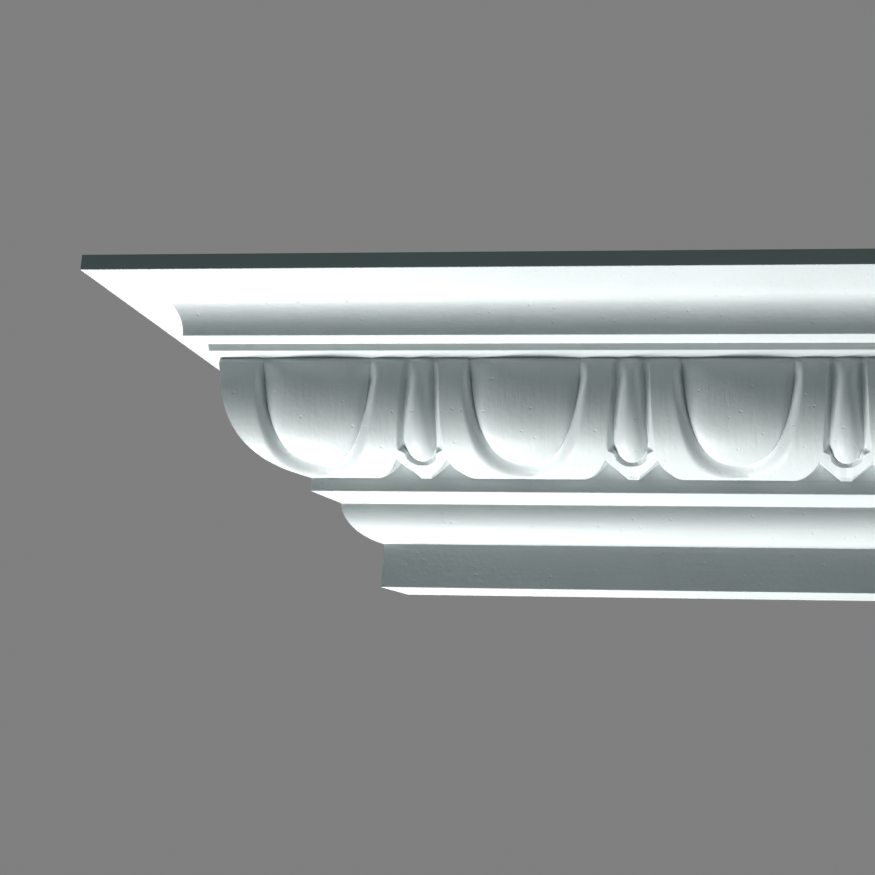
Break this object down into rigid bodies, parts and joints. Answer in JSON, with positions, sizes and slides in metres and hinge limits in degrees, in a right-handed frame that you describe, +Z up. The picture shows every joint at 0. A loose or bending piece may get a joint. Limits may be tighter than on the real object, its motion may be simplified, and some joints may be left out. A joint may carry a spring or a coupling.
{
  "type": "egg and dart cornice moulding length",
  "caption": "White cast cornice length with an egg and dart course between a cove and a quarter round, mitred at one end and cut square at the other.",
  "frame": {"origin": "middle of the flat face that goes against the wall", "axes": "+X along the moulding from the mitred end to the square end, +Y out of the back towards the wall, +Z up to the ceiling"},
  "size_m": [0.46, 0.16, 0.137],
  "materials": {
    "painted_plaster": "cast gypsum plaster under white satin paint, with faint tooling marks"
  },
  "bodies": {
    "root": {"cornice": "painted_plaster"}
  },
  "joints": []
}
